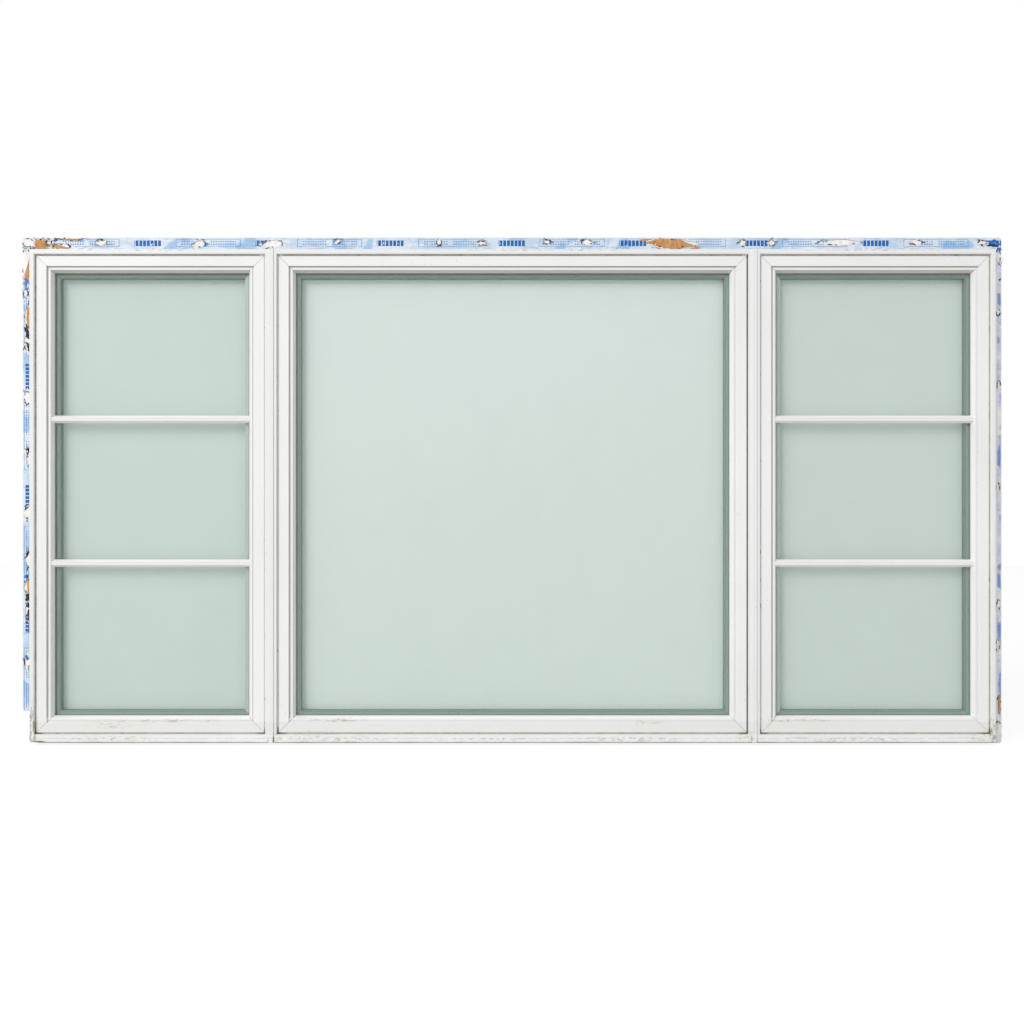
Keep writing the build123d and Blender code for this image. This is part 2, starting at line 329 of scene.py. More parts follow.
# %% Where rain and dirt have left marks
# Each place is its x and z, then half its width and height, all in metres.
STAINS = [
    (-0.87, 0.053, 0.22, 0.006), (-1.02, 0.010, 0.16, 0.009), (-0.45, 0.055, 0.11, 0.008),
    (-0.51, 0.022, 0.09, 0.007), (-0.46, 0.010, 0.22, 0.012), (0.28, 0.008, 0.20, 0.009),
    (0.72, 0.054, 0.13, 0.006), (0.84, 0.008, 0.24, 0.010), (1.19, 0.012, 0.06, 0.020),
    (-1.02, 0.043, 0.08, 0.012), (-0.59, 0.012, 0.03, 0.020),
    (0.59, 0.020, 0.04, 0.020), (0.34, 0.050, 0.05, 0.008), (-0.95, 1.241, 0.25, 0.003),
    (0.05, 1.241, 0.50, 0.003), (0.90, 1.241, 0.30, 0.003), (-0.05, 0.009, 0.20, 0.004),
]
FEET = [
    (-0.6160, 0.004, 0.0030, 0.016), (-0.6025, 0.004, 0.0034, 0.022), (0.6025, 0.004, 0.0034, 0.020),
    (0.6165, 0.002, 0.0036, 0.018),
]


def marked(start, places):
    """1 at any of the listed places on the front."""
    mask = start.near(*places[0])
    for place in places[1:]:
        mask = mask | start.near(*place)
    return mask


print(len(STAINS), "stained places and", len(FEET), "dirty feet of the mullions")

# %% [markdown]
# ## Places on a sash
#
# Some marks follow the sash section: painted shade in its groove, a line at each mitre.
# All three sashes share one pattern, so a point is measured from its nearest sash edges.
# The mirrored halves fold onto each other with an absolute value.

# %% Distances from the sash edges
def sash_places(start):
    """How far a point lies in from its sash's stile and rail edges, and 1 on left halves."""
    low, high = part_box("left_sash_left_stile")[0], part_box("left_sash_right_stile")[1]
    side_middle, side_half = abs(low.x + high.x) / 2, (high.x - low.x) / 2
    centre_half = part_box("centre_sash_right_stile")[1].x
    reach = start.math("ABSOLUTE", start.axis("X"))
    side_run = side_half - start.math("ABSOLUTE", reach - side_middle)
    run = side_run | (centre_half - reach)
    rise = (high.z - low.z) / 2 - start.math("ABSOLUTE", start.axis("Z") - (low.z + high.z) / 2)
    across = start.axis("X")
    left_half = (across < -side_middle) | between(across, -centre_half, 0.0)
    left_half = left_half | between(across, centre_half, side_middle)
    return run, rise, left_half


# %% [markdown]
# ## Vinyl in layers
#
# The finish is built like paint, one thin tint over another, each a mask with its colour.
# First come the tints that belong to the section, painted shade in the groove and under the top bead
# among them, then scuffs and specks, then what rain has left.
# Separate lists keep the order of the layers easy to read and to change.

# %% Layers of the vinyl
def section_layers(start, depth, height, outside):
    """Tints that follow the section: frames, recesses, a low band, painted shade in the sash's channel
    and beneath the top bead, and mitre lines.
    """
    run, rise, left_half = sash_places(start)
    inward = start.math("MINIMUM", run, rise)
    frames = (depth < -0.0315) * (height > 0.02)
    recess = between(depth, -0.0265, 0.0) * (height > 0.07)
    low = height.rise(0.010, 0.024) * (1.0 - height.rise(0.048, 0.053))
    upper = (rise < run) * (height > 0.6)
    # painted shade: the groove is darkened only on the left halves and the upper rails, the sides turned
    # from the light
    painted_shade_groove = between(inward, 0.0253, 0.0302) * (depth > -0.0286) * (height > 0.06)
    painted_shade_groove = painted_shade_groove * (left_half | upper)
    # painted shade: the top bead's bevel faces down and is painted darker and warmer
    painted_shade_under_bead = between(rise, 0.0345, 0.0415) * upper * (depth > -0.0272)
    mitre = (start.math("ABSOLUTE", run - rise) < 0.0007) * between(run, 0.0, 0.042)
    return [
        (frames * 0.4, rgba(226, 228, 228)),
        (recess * 0.25, rgba(222, 216, 205)),
        (low * 0.45, rgba(222, 222, 218)),
        (painted_shade_groove * outside * 0.4, rgba(150, 143, 130)),
        (painted_shade_under_bead * outside * 0.5, rgba(176, 170, 158)),
        (mitre * outside * 0.6, rgba(150, 142, 130)),
    ]


def wear_layers(start):
    """Long grey scuffs and small brown specks, in a few chosen areas."""
    chosen = start.cloud(5.0, 2.0).rise(0.5, 0.66)
    scuffs = start.stretch(260.0, 80.0, 26.0).cloud(1.0, 3.0, 0.65).rise(0.66, 0.74)
    specks = (1.0 - start.spots(60.0).rise(0.05, 0.1)) * chosen
    return [
        (scuffs * chosen * 0.30, rgba(140, 136, 130)),
        (specks * 0.45, rgba(120, 104, 88)),
    ]


def rain_layers(start, height, outside, dashes, stain):
    """Soiling near the foot, spatter at the corners, a tide line and brown stains."""
    smear = start.stretch(150.0, 60.0, 55.0).cloud(1.0, 5.0, 0.65)
    soiled = (1.0 - height.rise(-0.004, 0.014)) * start.cloud(26.0, 4.0, 0.6).rise(0.3, 0.7)
    spatter = start.near(-1.212, 0.030, 0.016, 0.090) | start.near(1.212, 0.020, 0.016, 0.060)
    wave = 0.0105 + (start.stretch(5.0, 0.0, 0.0).cloud(1.0, 3.0) - 0.5) * 0.010
    tide = 1.0 - start.math("ABSOLUTE", height - wave).rise(0.0005, 0.0016)
    foot = (height < 0.0022) * start.stretch(9.0, 0.0, 0.0).cloud(1.0, 4.0).rise(0.42, 0.6)
    feet = marked(start, FEET) * (0.35 + 0.65 * smear.rise(0.38, 0.6))
    scorch = start.near(-1.193, 0.001, 0.022, 0.005) * dashes.rise(0.36, 0.48)
    return [
        (soiled * outside * 0.4, rgba(204, 194, 182)),
        (spatter * smear.rise(0.42, 0.60) * outside * 0.75, rgba(142, 126, 106)),
        (tide * dashes.rise(0.38, 0.56) * outside * 0.3, rgba(150, 128, 108)),
        (foot * outside * 0.4, rgba(130, 108, 88)),
        (stain * 0.75, rgba(146, 114, 84)),
        (feet * outside * 0.75, rgba(150, 116, 84)),
        (scorch * outside * 0.9, rgba(58, 46, 36)),
    ]


print("the vinyl has three groups of layers")

# %% [markdown]
# ## The vinyl itself
#
# A faint patchy white lies under all the layers, and a fine grain gives the satin sheen.
# Frames, sashes and bars share one white, and the fins are a little cleaner.

# %% Vinyl finish
def make_vinyl(name, white):
    material, start, out = blank_material(name)
    depth, height = start.axis("Y"), start.axis("Z")
    outside = depth < 0.0
    patchy = start.cloud(2.4, 4.0)
    grain = start.cloud(240.0, 2.0)
    dashes = start.stretch(60.0, 60.0, 210.0).cloud(1.0, 7.0, 0.72)
    speckle = start.cloud(330.0, 3.0, 0.6).rise(0.42, 0.62)
    stain = marked(start, STAINS) * dashes.rise(0.47, 0.66) * (0.45 + 0.55 * speckle) * outside
    colour = patchy.rise(0.3, 0.7).blend(white, rgba(237, 237, 235))
    layers = section_layers(start, depth, height, outside) + wear_layers(start)
    for mask, shade in layers + rain_layers(start, height, outside, dashes, stain):
        colour = colour.tint(mask, shade)
    rough = 0.30 + 0.12 * patchy + 0.2 * stain
    inputs = {"Base Color": colour, "Roughness": rough, "IOR": 1.5}
    finish_surface(material, start, out, inputs, grain * 0.6 + patchy * 0.4, 0.0002)
    return material


vinyl = make_vinyl("white_vinyl", rgba(242, 242, 241))
fin_vinyl = make_vinyl("fin_vinyl", rgba(247, 247, 246))

# %% [markdown]
# ## Glass
#
# Each light is a sealed unit of two panes, and the outer one is clear and barely green.
# A glass shader would bend the light and block the lamp, so thin clear glass is a transparent shader
# that turns glossy at a slant. A little dust and a few specks lie on it near the foot.

# %% Clear outer pane
def make_clear_glass():
    material, start, out = blank_material("clear_glass")
    dust = start.cloud(7.0, 5.0, 0.6).rise(0.35, 0.8)
    facing = start.make("ShaderNodeLayerWeight", {}, {"Blend": 0.5}, "Facing")
    slant = 0.035 + 0.965 * start.math("POWER", facing, 5.0)
    through = start.make("ShaderNodeBsdfTransparent", {}, {"Color": (0.985, 0.995, 0.99, 1.0)})
    shine = start.make("ShaderNodeBsdfGlossy", {}, {"Color": WHITE, "Roughness": 0.03})
    haze = start.make("ShaderNodeBsdfDiffuse", {}, {"Color": (0.75, 0.77, 0.75, 1.0)})
    grime = start.make("ShaderNodeBsdfDiffuse", {}, {"Color": (0.05, 0.05, 0.04, 1.0)})
    foot = 1.0 - start.axis("Z").rise(0.064, 0.086)
    specks = (1.0 - start.spots(70.0).rise(0.06, 0.14)) * foot * start.cloud(13.0, 3.0).rise(0.5, 0.62)
    pane = start.make("ShaderNodeMixShader", {}, {0: slant, 1: through, 2: shine})
    dusty = start.make("ShaderNodeMixShader", {}, {0: dust * 0.02, 1: pane, 2: haze})
    spotted = start.make("ShaderNodeMixShader", {}, {0: specks * 0.8, 1: dusty, 2: grime})
    material.node_tree.links.new(spotted.socket, out.inputs["Surface"])
    print(material.name, "has", len(material.node_tree.nodes), "nodes")
    return material


clear_glass = make_clear_glass()

# %% [markdown]
# ## Obscured glass
#
# The pane behind is obscured, so it takes the soft shadows of the sash and of the bars.
# A plain pale green would show them too hard, so some light is let wander below the surface,
# which makes the shadows paler and softer.

# %% Obscured inner pane
def make_obscured_glass():
    material, start, out = blank_material("obscured_glass")
    across = start.axis("X")
    height = start.axis("Z").rise(0.0, 1.1)
    drift = start.cloud(1.6, 3.0)
    grain = start.cloud(420.0, 2.0)
    # painted shade: the pane is painted darker towards the bottom, where less light falls
    colour = height.blend(rgba(210, 222, 216), rgba(217, 227, 223))
    colour = colour.tint(drift.rise(0.35, 0.75) * 0.4, rgba(214, 225, 220))
    # painted shade: the side lights are painted darker than the centre light
    colour = colour.tint((across < -0.6) * 0.8, rgba(200, 212, 207))
    colour = colour.tint((across > 0.6) * 0.8, rgba(200, 212, 206))
    inputs = {"Base Color": colour, "Roughness": 0.45 + 0.15 * grain, "IOR": 1.45}
    inputs |= {"Subsurface Weight": 0.5, "Subsurface Scale": 0.012}
    inputs |= {"Subsurface Radius": (1.0, 1.0, 1.0)}
    finish_surface(material, start, out, inputs, grain, 0.00015)
    return material


obscured_glass = make_obscured_glass()

# %% [markdown]
# ## Spacer
#
# Round the edge of each sealed unit runs a thin metal spacer between the panes.
# Through the glass it shows as a grey-green band with fine lines along it.
# One metal would look flat, so painted shade darkens its side faces, its inner edge and its upper run,
# and painted light lightens the runs beside the mullions.

# %% Spacer finish
SPACER_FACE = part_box("left_spacer")[0].y + 0.0003


def make_spacer():
    material, start, out = blank_material("spacer_metal")
    drift = start.cloud(9.0, 4.0)
    pores = 1.0 - start.spots(210.0).rise(0.15, 0.3)
    colour = drift.blend(rgba(150, 169, 160), rgba(158, 175, 167))
    # painted shade: the spacer's side faces are painted darker
    colour = colour.tint((start.axis("Y") > SPACER_FACE) * 0.7, rgba(100, 118, 111))
    run, rise, _ = sash_places(start)
    front = start.axis("Y") < SPACER_FACE
    # painted shade: a darker band along the inner edge of the front face, widening the shaded side face
    inner = start.math("MINIMUM", run, rise).rise(0.0478, 0.0488)
    colour = colour.tint(inner * front * 0.5, rgba(104, 122, 114))
    # painted light: the front of the runs beside the mullions is painted nearly as pale as the pane
    painted_light_by_mullions = between(start.math("ABSOLUTE", start.axis("X")), 0.62, 0.74) * (run < rise)
    colour = colour.tint(painted_light_by_mullions * front * 0.85, rgba(192, 206, 198))
    # painted shade: the upper run, beneath the top rail, is painted darker
    upper = (rise < run) * (start.axis("Z") > 0.6)
    colour = colour.tint(upper * 0.4, rgba(104, 122, 114))
    colour = colour.tint(pores * 0.12, rgba(80, 92, 88))
    inputs = {"Base Color": colour, "Roughness": 0.5 + 0.1 * drift, "Metallic": 0.2}
    finish_surface(material, start, out, inputs, drift - pores * 0.3, 0.0001)
    return material


spacer_metal = make_spacer()

# %% [markdown]
# ## Finishes on the solids
#
# A solid keeps its shape, and only its material changes.
# Its name says which finish it takes.

# %% Give every solid its finish
def finish_for(name):
    if name.endswith("outer_pane"):
        return clear_glass
    if name.endswith("inner_pane"):
        return obscured_glass
    if name.endswith("spacer"):
        return spacer_metal
    if name.endswith("fin"):
        return fin_vinyl
    return vinyl


for name, node in nodes.items():
    for place in node.material_slots:
        place.material = finish_for(name)
print("finished", len(nodes), "solids")

# %% [markdown]
# ## Seals
#
# New pieces begin as an upright grid and become objects that stay with the window.
# A bmesh is a mesh in the making: its operators build and cut it, and it is stored once it is done.
# These helpers serve the seals, the film and the scraps.

# %% Helpers for new pieces
def flat_grid(low, high, step):
    """Upright grid between two corners, each given as x and z, facing outwards."""
    width, height = high[0] - low[0], high[1] - low[1]
    columns, rows = max(1, round(width / step)), max(1, round(height / step))
    shape = bmesh.new()
    bmesh.ops.create_grid(shape, x_segments=columns, y_segments=rows, size=0.5)
    bmesh.ops.scale(shape, vec=(width, height, 1.0), verts=shape.verts)
    upright = Matrix.Rotation(math.radians(90.0), 3, "X")
    bmesh.ops.rotate(shape, cent=(0.0, 0.0, 0.0), matrix=upright, verts=shape.verts)
    middle = ((low[0] + high[0]) / 2, 0.0, (low[1] + high[1]) / 2)
    bmesh.ops.translate(shape, vec=middle, verts=shape.verts)
    return shape


def add_piece(name, shape, material):
    """Turn a bmesh into a piece that stays with the window."""
    mesh = bpy.data.meshes.new(name)
    shape.to_mesh(mesh)
    shape.free()
    mesh.materials.append(material)
    piece = bpy.data.objects.new(name, mesh)
    scene.collection.objects.link(piece)
    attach(piece, "root")
    print(name, "has", len(mesh.polygons), "faces")
    return piece


def thicken(shape, faces, depth):
    """Pull faces out along Y, and turn all sides outwards."""
    grown = bmesh.ops.extrude_face_region(shape, geom=faces)
    moved = [part for part in grown["geom"] if isinstance(part, bmesh.types.BMVert)]
    bmesh.ops.translate(shape, vec=(0.0, depth, 0.0), verts=moved)
    bmesh.ops.recalc_face_normals(shape, faces=shape.faces)


print("helpers for grids, pieces and thickness are ready")

# %% [markdown]
# ## Seal rings
#
# Two thin lines run round every light. A strip of sealant closes the slot between frame and sash,
# and a dark rubber lip closes the joint between the bead and the outer pane.
# Both are flat rings: one face is inset, its middle is taken out, and the rim is given a thickness.

# %% Rings round a sash
WHOLE_FACE = 10.0


def flat_ring(low, high, rim, front, back, open_side=None):
    """Flat ring inside two corners, with one side left out where it is open."""
    shape = flat_grid(low, high, WHOLE_FACE)
    middle = shape.faces[:]
    bmesh.ops.inset_region(
        shape, faces=middle, thickness=rim, use_boundary=True, use_even_offset=True
    )
    spare = list(middle)
    if open_side == "right":
        spare += [face for face in shape.faces if face.calc_center_median().x > high[0] - rim]
    bmesh.ops.delete(shape, geom=spare, context="FACES")
    bmesh.ops.translate(shape, vec=(0.0, back, 0.0), verts=shape.verts)
    thicken(shape, shape.faces[:], front - back)
    return shape


def sash_corners(light):
    """Lowest and highest corner of a light's sash, as x and z."""
    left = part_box(light + "_sash_left_stile")[0].x
    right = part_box(light + "_sash_right_stile")[1].x
    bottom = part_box(light + "_sash_bottom_rail")[0].z
    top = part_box(light + "_sash_top_rail")[1].z
    return (left, bottom), (right, top)


def grown_corners(low, high, by):
    return (low[0] - by, low[1] - by), (high[0] + by, high[1] + by)


print("left sash runs from", *sash_corners("left"))

# %% [markdown]
# ## Sealant and rubber
#
# Old sealant is a dull warm grey that has caught dirt in the lower corners, and beside the mullions it
# is painted paler as painted light.
# The lip is a grey-green rubber. Both are rough, and noise keeps them from looking new.

# %% Seal finishes
DIRTY_CORNERS = (-1.205, -0.626, -0.593, 0.593, 0.626, 1.205)


def make_sealant():
    material, start, out = blank_material("aged_sealant")
    drift = start.cloud(30.0, 4.0, 0.6)
    colour = drift.rise(0.3, 0.7).blend(rgba(190, 185, 176), rgba(168, 161, 149))
    reach, height = start.math("ABSOLUTE", start.axis("X")), start.axis("Z")
    # painted light: beside the mullions the sealant is painted paler, against the shade in its slot
    painted_light_on_sealant = between(reach, 0.58, 0.64) * (height > 0.03)
    colour = colour.tint(painted_light_on_sealant * 0.75, rgba(228, 224, 216))
    colour = colour.tint(start.cloud(90.0, 3.0).rise(0.6, 0.75) * 0.7, rgba(120, 98, 76))
    for corner in DIRTY_CORNERS:
        colour = colour.tint(start.near(corner, 0.020, 0.030, 0.024) * 0.7, rgba(84, 64, 46))
    inputs = {"Base Color": colour, "Roughness": 0.6 + 0.2 * drift}
    finish_surface(material, start, out, inputs, drift, 0.0006)
    return material


def make_rubber():
    material, start, out = blank_material("dark_rubber")
    drift = start.cloud(60.0, 4.0, 0.6)
    colour = drift.blend(rgba(126, 137, 130), rgba(150, 159, 151))
    inputs = {"Base Color": colour, "Roughness": 0.6 + 0.2 * drift}
    finish_surface(material, start, out, inputs, drift, 0.0002)
    return material


sealant = make_sealant()
rubber = make_rubber()

# %% [markdown]
# ## Seals in place
#
# The sealant fills the slot and stops short of the frame's face, and the lip stands on the outer pane.
# On the right of the centre light the sealant is gone, so that side of its ring is left open.

# %% Seals on each light
LIGHTS = ("left", "centre", "right")
SLOT = 0.004
SIGHTLINE = 0.0405
SEAL_FRONT = -0.0276
SEAL_BACK = -0.020
LIP_WIDTH = 0.0018
LIP_STANDS = 0.0016

for light in LIGHTS:
    low, high = sash_corners(light)
    side = "right" if light == "centre" else None
    slot_corners = grown_corners(low, high, SLOT)
    strip = flat_ring(*slot_corners, SLOT, SEAL_FRONT, SEAL_BACK, side)
    add_piece(light + "_sealant", strip, sealant)
    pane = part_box(light + "_outer_pane")[0].y
    lip_corners = grown_corners(low, high, -SIGHTLINE)
    lip = flat_ring(*lip_corners, LIP_WIDTH, pane - LIP_STANDS, pane)
    add_piece(light + "_rubber_lip", lip, rubber)

# %% [markdown]
# ## Flashing tape
#
# The tape is a thin pale blue film with a simple repeating print, stuck over the fins.
# The print is plain bars, boxes and dashes, drawn by arithmetic along the strip,
# because a drawn pattern stays sharp and needs no picture.
# A UV layer gives each point its place along the strip and its distance from the outer edge.

# %% Print on the film
PRINT_REPEAT = 0.3094
PRINT_START = -0.0029
BAR_PITCH = 0.0096
DASH_PITCH = 0.0062


def film_print(place, across):
    """Masks of the heavy bars and of the thin boxes and dashes."""
    turns = (place - PRINT_START) * (1.0 / PRINT_REPEAT) + 0.5
    step = (turns.fraction() - 0.5) * PRINT_REPEAT
    away = place.math("ABSOLUTE", step)
    bars = between(step, -0.034, 0.034) * between(across, 0.0072, 0.0218)
    bars = bars * ((step * (1.0 / BAR_PITCH) + 0.2).fraction() < 0.78)
    boxes = between(away, 0.072, 0.2) * between(across, 0.0035, 0.0235)
    boxes = boxes - between(away, 0.0733, 0.2) * between(across, 0.0047, 0.0223)
    rows = between(across, 0.0085, 0.0112) | between(across, 0.0150, 0.0185)
    dashes = rows * between(away, 0.084, 0.148) * ((step * (1.0 / DASH_PITCH)).fraction() < 0.6)
    return bars, boxes | dashes


print("the print repeats every", PRINT_REPEAT, "m")

# %% [markdown]
# ## Film finish
#
# The film is uneven: milky in places, bluer in others, creased, and with its print worn off in spots.
# On the right it has lost most of its colour and is painted paler still, partly as painted light against
# the frame's shadow, so one function takes the share of print and of white, bare in spots and painted
# light near the jamb, and makes both.

# %% Film finish
def make_film_finish(name, deep, pale_colour, block_colour, print_share, bare_and_painted_light_share):
    material, start, out = blank_material(name)
    along = start.make("ShaderNodeUVMap", {"uv_map": "tape"}, {})
    place, across = along.axis("X"), along.axis("Y")
    bars, fine_print = film_print(place, across)
    worn = start.cloud(70.0, 4.0, 0.65).rise(0.32, 0.42) * print_share
    pale = start.cloud(11.0, 4.0, 0.55)
    milky = start.stretch(18.0, 18.0, 60.0).cloud(1.0, 4.0, 0.6).rise(0.52, 0.66)
    colour = pale.rise(0.35, 0.65).blend(deep, pale_colour)
    colour = colour.tint(milky * 0.8, rgba(234, 238, 244))
    blocks = start.cloud(13.0, 2.0, 0.4).rise(0.55, 0.60)
    colour = colour.tint(blocks * 0.75, block_colour)
    folds = start.stretch(17.0, 0.0, 26.0).facets(1.0)
    crease = (1.0 - folds.rise(0.008, 0.045)) * start.cloud(9.0, 2.0).rise(0.42, 0.58)
    colour = colour.tint(crease * 0.45, rgba(140, 166, 208))
    # holes in the cloud are bare film; the band away from the outer edge is painted white, partly
    # painted light against the frame's shadow
    bare_and_painted_light = across.rise(0.0085, 0.0125) | (1.0 - start.cloud(8.0, 3.0, 0.6).rise(0.34, 0.42))
    colour = colour.tint(bare_and_painted_light * bare_and_painted_light_share, rgba(252, 251, 248))
    colour = colour.tint(fine_print * worn * 0.9, rgba(58, 126, 194))
    colour = colour.tint(bars * worn, rgba(0, 92, 166))
    grain = start.cloud(160.0, 3.0)
    inputs = {"Base Color": colour, "Roughness": 0.34 + 0.2 * pale, "IOR": 1.45}
    finish_surface(material, start, out, inputs, grain * 0.3 + folds * 2.0, 0.0006)
    return material


PRINTED_BLUES = rgba(187, 208, 231), rgba(221, 230, 240), rgba(146, 187, 226)
# the right film's blues are pale from fading, and paler still as painted light against the frame's
# shadow on the right fin
FADED_BLUES_PAINTED_LIGHTER = rgba(200, 214, 244), rgba(244, 246, 252), rgba(54, 126, 212)
printed_film = make_film_finish("printed_film", *PRINTED_BLUES, print_share=1.0, bare_and_painted_light_share=0.0)
faded_film_painted_lighter = make_film_finish("faded_film_painted_lighter", *FADED_BLUES_PAINTED_LIGHTER, print_share=0.15, bare_and_painted_light_share=0.95)

# %% [markdown]
# ## Tears
#
# The film was torn when the nails were pulled. The main tears are listed by place and size,
# and shallow ones along the head's lower edge come from a seeded draw, so each run gives the same edge.
# A slanted diamond with a ragged outline looks more like torn film than an oval does.

# %% Where the film is torn
# Each tear is its x and z, then half its width and height, all in metres.
HEAD_TEARS = [
    (-1.183, 1.269, 0.008, 0.008), (-1.150, 1.258, 0.026, 0.007), (-1.208, 1.264, 0.024, 0.016),
    (-1.047, 1.268, 0.015, 0.008), (-0.797, 1.265, 0.017, 0.010), (-0.613, 1.264, 0.031, 0.009),
    (-0.447, 1.271, 0.009, 0.006), (-0.188, 1.269, 0.008, 0.008), (-0.079, 1.267, 0.014, 0.006),
    (0.087, 1.270, 0.011, 0.006), (0.189, 1.269, 0.017, 0.007), (0.405, 1.266, 0.058, 0.013),
    (0.587, 1.267, 0.010, 0.010), (0.661, 1.267, 0.009, 0.009), (0.832, 1.268, 0.050, 0.007),
    (1.031, 1.269, 0.017, 0.006), (1.198, 1.268, 0.013, 0.007), (-1.126, 1.277, 0.034, 0.004),
    (-1.236, 1.268, 0.017, 0.013),
]
LEFT_TEARS = [
    (-1.241, 1.215, 0.013, 0.052), (-1.242, 1.139, 0.008, 0.009), (-1.235, 1.077, 0.009, 0.032),
    (-1.237, 1.010, 0.008, 0.028), (-1.238, 0.872, 0.009, 0.020), (-1.232, 0.720, 0.006, 0.026),
    (-1.237, 0.579, 0.009, 0.017), (-1.234, 0.460, 0.007, 0.024), (-1.235, 0.388, 0.009, 0.026),
    (-1.234, 0.330, 0.007, 0.030), (-1.238, 0.200, 0.009, 0.021),
    (-1.241, 0.735, 0.007, 0.008),
]
RIGHT_TEARS = [
    (1.238, 0.010, 0.016, 0.045),
    (1.239, 1.235, 0.006, 0.024),
    (1.238, 1.090, 0.006, 0.010), (1.240, 0.905, 0.005, 0.014), (1.237, 0.640, 0.006, 0.020),
    (1.239, 0.345, 0.005, 0.016), (1.240, 0.090, 0.006, 0.026), (1.237, 0.240, 0.006, 0.018),
]


TEAR_LEAN = 0.9
TEAR_FILL = 0.8


def edge_tears(low, high, count, chance):
    """Shallow tears along the head film's lower edge, where the fin shows."""
    tears = []
    for _ in range(count):
        x = chance.uniform(low[0] + 0.1, high[0] - 0.1)
        tears.append((x, low[1], chance.uniform(0.02, 0.08), chance.uniform(0.003, 0.0085)))
    return tears


def tear_distance(point, tears):
    """Below 1 inside a ragged tear, growing outwards."""
    ragged = noise.noise(Vector((point.x * 170.0, 3.0, point.z * 170.0)))
    reach = []
    for x, z, half_x, half_z in tears:
        lean = math.copysign(TEAR_LEAN, math.sin(x * 300.0)) if half_x > half_z else 0.0
        slant = abs(point.x - x + lean * (point.z - z)) / half_x
        corner = TEAR_FILL * (slant + abs(point.z - z) / half_z)
        reach.append(corner + ragged * min(0.3, 0.006 / max(half_x, half_z)))
    return min(reach)


print(len(HEAD_TEARS), "tears on the head,", len(LEFT_TEARS), "left and", len(RIGHT_TEARS), "right")

# %% [markdown]
# ## Film strips
#
# A fine grid gives the film. Faces inside the tears are deleted and the free edges smoothed.
# Noise lifts the sheet into shallow wrinkles, the rims of the tears curl up,
# and at the top right the loose film is crumpled. Solidify gives it a thickness.

# %% How the film lies
FILM_STEP = 0.0026
FILM_CORNER = 0.007
FILM_DEPTH = -0.0022
FILM_THICKNESS = 0.0003
CURL_START = 1.7
EDGE_NEAR = 0.0001
CRUMPLE_PLACE = 1.222
CRUMPLE_REACH = 0.055


def past_corner(point, low, high):
    """True outside the film's rounded corners."""
    in_x = max(low[0] + FILM_CORNER - point.x, point.x - high[0] + FILM_CORNER, 0.0)
    in_z = max(low[1] + FILM_CORNER - point.z, point.z - high[1] + FILM_CORNER, 0.0)
    return math.hypot(in_x, in_z) > FILM_CORNER


def film_lift(point, tears, crumple):
    """How far the film stands off the fin, in metres, and more where it is crumpled."""
    folds = noise.noise(Vector((point.x * 24.0, 1.0, point.z * 60.0)))
    creases = noise.noise(Vector((point.x * 120.0, 5.0, point.z * 120.0)))
    curl = max(0.0, CURL_START - tear_distance(point, tears))
    nearness = max(0.0, 1.0 - abs(point.z - CRUMPLE_PLACE) / CRUMPLE_REACH)
    loose = nearness * (0.6 + 0.8 * folds + 0.5 * creases)
    wrinkles = 0.0009 * max(0.0, folds) + 0.0004 * max(0.0, creases)
    return wrinkles + 0.0022 * curl * curl + crumple * max(0.0, loose)


def outer_edge(low, high):
    """How far out the outer edge of an upright strip lies."""
    return max(abs(low[0]), abs(high[0]))


def roughen_edge(vert, low, high, along):
    """Pull a point of the strip's outer edge in by an uneven amount."""
    ragged = abs(noise.noise(Vector((vert.co.x * 60.0, 9.0, vert.co.z * 60.0))))
    if along == "x" and vert.co.z > high[1] - EDGE_NEAR:
        vert.co.z -= 0.0016 * ragged
    if along == "z" and abs(vert.co.x) > outer_edge(low, high) - EDGE_NEAR:
        wavy = abs(noise.noise(Vector((7.0, 9.0, vert.co.z * 18.0))))
        vert.co.x *= 1.0 - 0.0018 * ragged - 0.0034 * wavy


def lay_out_print(shape, low, high, along):
    """UV layer with the place along the strip and the distance from its outer edge."""
    sheet = shape.loops.layers.uv.new("tape")
    for face in shape.faces:
        for corner in face.loops:
            x, z = corner.vert.co.x, corner.vert.co.z
            on_side = (z, outer_edge(low, high) - abs(x))
            corner[sheet].uv = (x, high[1] - z) if along == "x" else on_side


print("film lies", -FILM_DEPTH, "m in front of the wall's face")

# %% [markdown]
# ## Strips on the fins
#
# Each strip covers the plain tape solid on its fin and takes its place in the picture.
# The head's strip runs along x and the others along z.
# Only the print and the outer edge need to know which.

# %% Film strips
EDGE_INSET = 0.0006
EDGE_TEARS = 22


def make_film(name, low, high, along, tears, node, material, crumple):
    shape = flat_grid(low, high, FILM_STEP)
    middles = {face: face.calc_center_median() for face in shape.faces}
    torn = [face for face, middle in middles.items() if tear_distance(middle, tears) < 1.0]
    cut = [face for face, middle in middles.items() if past_corner(middle, low, high)]
    bmesh.ops.delete(shape, geom=list({*torn, *cut}), context="FACES")
    rim = [vert for vert in shape.verts if vert.is_boundary]
    for vert in rim:
        roughen_edge(vert, low, high, along)
    for _ in range(3):
        bmesh.ops.smooth_vert(shape, verts=rim, factor=0.5, use_axis_x=True, use_axis_z=True)
    lay_out_print(shape, low, high, along)
    for vert in shape.verts:
        vert.co.y = FILM_DEPTH - film_lift(vert.co, tears, crumple)
    film = add_piece(name, shape, material)
    wall = film.modifiers.new("film_thickness", "SOLIDIFY")
    wall.thickness = FILM_THICKNESS
    wall.offset = -1.0
    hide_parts(node)


